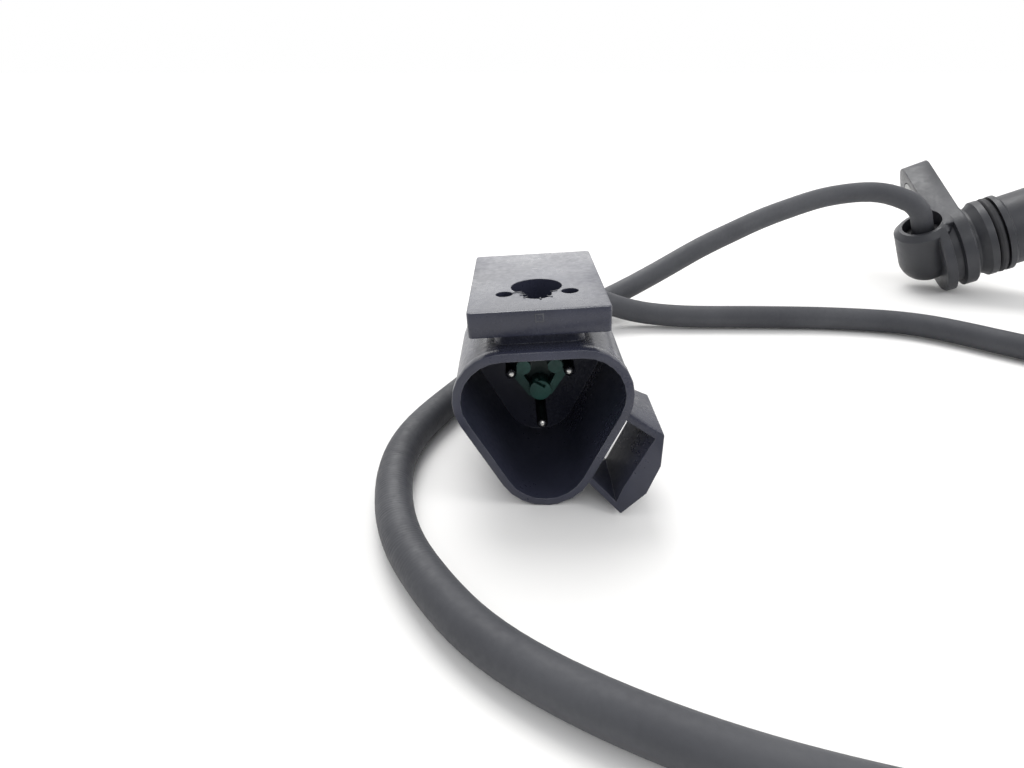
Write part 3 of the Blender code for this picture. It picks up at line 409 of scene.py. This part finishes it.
def makeFloor(spec):
    bm = bmesh.new()
    bmesh.ops.create_grid(bm, x_segments=1, y_segments=1, size=spec["wide"])
    paper, tree, shader, where = startMaterial("floorPaper")
    cloud = addNode(tree, "ShaderNodeTexNoise", {"Vector": where, "Scale": 3.0, "Detail": 2.0}).outputs[0]
    pale = srgbToLinear(spec["floor"])
    cloudy = (*[c * spec["cloudy"] for c in pale[:3]], 1.0)
    base = addNode(tree, "ShaderNodeMix", {0: cloud, 6: pale, 7: cloudy}, data_type="RGBA").outputs[2]
    tree.links.new(base, shader.inputs["Base Color"])
    shader.inputs["Roughness"].default_value = 0.75
    shader.inputs["Emission Color"].default_value = (1.0, 0.99, 0.98, 1.0)
    away = addNode(tree, "ShaderNodeVectorMath", {0: where}, operation="LENGTH").outputs["Value"]
    faint, bright = spec["glow"]
    reach = {0: away, 1: spec["glowFrom"], 2: spec["glowTo"], 3: faint, 4: bright}
    tree.links.new(addNode(tree, "ShaderNodeMapRange", reach).outputs[0], shader.inputs["Emission Strength"])
    floor = meshObject("floor", bm, paper)


def makeWorld(spec):
    world = bpy.data.worlds.new("studio")
    world.use_nodes = True
    tree = world.node_tree
    background = tree.nodes["Background"]
    way = addNode(tree, "ShaderNodeTexCoord").outputs["Generated"]
    ahead = addNode(tree, "ShaderNodeSeparateXYZ", {0: way}).outputs[1]
    share = addNode(tree, "ShaderNodeMapRange", {0: ahead, 1: -0.9, 2: 0.35}).outputs[0]
    tones = {0: share, 6: srgbToLinear(spec["near"]), 7: srgbToLinear(spec["far"])}
    shade = addNode(tree, "ShaderNodeMix", tones, data_type="RGBA").outputs[2]
    tree.links.new(shade, background.inputs[0])
    background.inputs[1].default_value = spec["strength"]
    scene.world = world


def areaLight(spec):
    data = bpy.data.lights.new(spec["name"], "AREA")
    data.shape = "DISK"
    data.size = spec["size"]
    data.energy = spec["power"]
    light = bpy.data.objects.new(spec["name"], data)
    light.location = spec["place"]
    aim = Vector(spec["aim"]) - Vector(spec["place"])
    light.rotation_euler = aim.to_track_quat("-Z", "Y").to_euler()
    scene.collection.objects.link(light)


makeFloor(stageSpec)
makeWorld(stageSpec)
aimPoint = (-0.1, -0.07, 0.01)
areaLight({"name": "keyLight", "place": (-0.25, 0.45, 0.85), "aim": aimPoint, "size": 0.6, "power": 6.0})
areaLight({"name": "backPanel", "place": (-0.15, 1.1, 0.42), "aim": aimPoint, "size": 0.8, "power": 2.0})
areaLight({"name": "sidePanel", "place": (0.55, -0.3, 0.5), "aim": aimPoint, "size": 0.45, "power": 1.8})
areaLight({"name": "frontPanel", "place": (-0.1, -0.8, 0.7), "aim": aimPoint, "size": 0.5, "power": 1.3})
scene.view_settings.view_transform = "Standard"
print("stage made")


dressing = {
    "connector_housing": housingNylon, "sensor_body": headNylon, "bolt_bushing": bushingSteel,
    "o_ring": sealSilicone, "nose_cap": headNylon, "cable_gland": sealSilicone, "chip_carrier": housingNylon,
    "bias_magnet": magnetCeramic, "hall_chip": chipEpoxy, "chip_lead_a": leadTin, "chip_lead_b": leadTin,
    "chip_lead_c": leadTin, "pin_terminal_a": contactNickel, "pin_terminal_b": contactNickel,
    "pin_terminal_c": contactNickel, "wedge_lock": wedgeResin, "wire_seal": sealSilicone,
    "lead_wire_a": wireRed, "lead_wire_b": wireWhite, "lead_wire_c": wireBlack, "connector_boot": sealSilicone,
}


def dress(node, material):
    owner = cadNodes[node]
    if not owner.material_slots:
        owner.data.materials.append(material)
    for place in owner.material_slots:
        place.material = material
    for face in owner.data.polygons:
        face.use_smooth = True
    joined = owner.modifiers.new("joined", "WELD")
    joined.merge_threshold = 0.000002
    creased = owner.modifiers.new("creased", "EDGE_SPLIT")
    creased.split_angle = math.radians(28.0)


for node, material in dressing.items():
    dress(node, material)
print("nodes dressed")


def receptacleMatrix():
    turn = Matrix.Rotation(math.radians(receptacleSpec["turn"]), 4, "Y")
    return Matrix.Translation(Vector(receptacleSpec["place"]) * mm) @ turn @ Matrix.Scale(mm, 4)


# Sprue witness on the front edge of the plate: a low square ring with a pip
gateSpec = {
    "place": (0.0, 2.0, 13.45), "outer": 0.56, "inner": 0.4,
    "proud": 0.045, "sunk": 0.12, "pip": 0.15, "bevel": 0.02,
}


def makeGateMark(spec):
    bm = bmesh.new()
    height = spec["proud"] + spec["sunk"]
    bmesh.ops.create_grid(bm, x_segments=1, y_segments=1, size=spec["outer"])
    inside = bm.faces[:]
    wall = spec["outer"] - spec["inner"]
    bmesh.ops.inset_region(bm, faces=inside, thickness=wall, use_boundary=True, use_even_offset=True)
    bmesh.ops.delete(bm, geom=inside, context="FACES_ONLY")
    raised = bmesh.ops.extrude_face_region(bm, geom=bm.faces[:], use_keep_orig=True)["geom"]
    crown = [vert for vert in raised if isinstance(vert, bmesh.types.BMVert)]
    bmesh.ops.translate(bm, verts=crown, vec=(0.0, 0.0, height))
    onTop = [edge for edge in bm.edges if all(vert in crown for vert in edge.verts)]
    rims = [edge for edge in onTop if edge.calc_face_angle(0.0) > 0.5]
    bmesh.ops.bevel(
        bm, geom=rims, offset=spec["bevel"], offset_type="OFFSET", affect="EDGES", segments=1,
        profile=0.5, material=-1,
    )
    bmesh.ops.create_cone(
        bm, cap_ends=True, segments=12, radius1=spec["pip"], radius2=spec["pip"] * 0.6, depth=height,
        matrix=Matrix.Translation((0.0, 0.0, height / 2)),
    )
    place = Matrix.Translation(spec["place"]) @ Matrix.Rotation(math.pi / 2, 4, "X")
    place = place @ Matrix.Translation((0.0, 0.0, -spec["sunk"]))
    bmesh.ops.transform(bm, matrix=receptacleMatrix() @ place, verts=bm.verts[:])
    mark = meshObject("gateMark", bm, scuffedNylon, smooth=False)
    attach(mark, "root")


makeGateMark(gateSpec)
print("gate mark made")


# Torn flash round the narrow end of the pear-shaped hole. A flake has a place, a heading in degrees,
# a length and a width in millimetres
flashSpec = {
    "height": 14.47, "thick": 0.15,
    "flakes": [
        (-2.55, 9.55, 20.0, 0.75, 0.3), (-2.1, 9.2, -35.0, 0.6, 0.26), (-1.85, 8.35, 10.0, 0.5, 0.3),
        (-1.5, 7.35, 50.0, 0.45, 0.24), (1.55, 7.25, 140.0, 0.5, 0.26), (2.2, 9.25, 200.0, 0.55, 0.24),
        (0.35, 6.5, 95.0, 0.4, 0.3),
    ],
}


def addFlake(bm, spec, flake):
    x, y, heading, length, width = flake
    lying = Matrix.Rotation(math.radians(heading), 4, "Z") @ Matrix.Rotation(math.pi / 2, 4, "Y")
    flat = Matrix.Diagonal((spec["thick"] / width, 1.0, 1.0, 1.0))
    bmesh.ops.create_cone(
        bm, cap_ends=True, segments=8, radius1=0.55 * width, radius2=0.18 * width, depth=1.7 * length,
        matrix=Matrix.Translation((x, y, spec["height"])) @ lying @ flat,
    )


def makeFlash(spec):
    bm = bmesh.new()
    for flake in spec["flakes"]:
        addFlake(bm, spec, flake)
    bmesh.ops.transform(bm, matrix=receptacleMatrix(), verts=bm.verts[:])
    flash = meshObject("holeFlash", bm, scuffedNylon, smooth=False)
    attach(flash, "root")


makeFlash(flashSpec)
print("hole flash made")
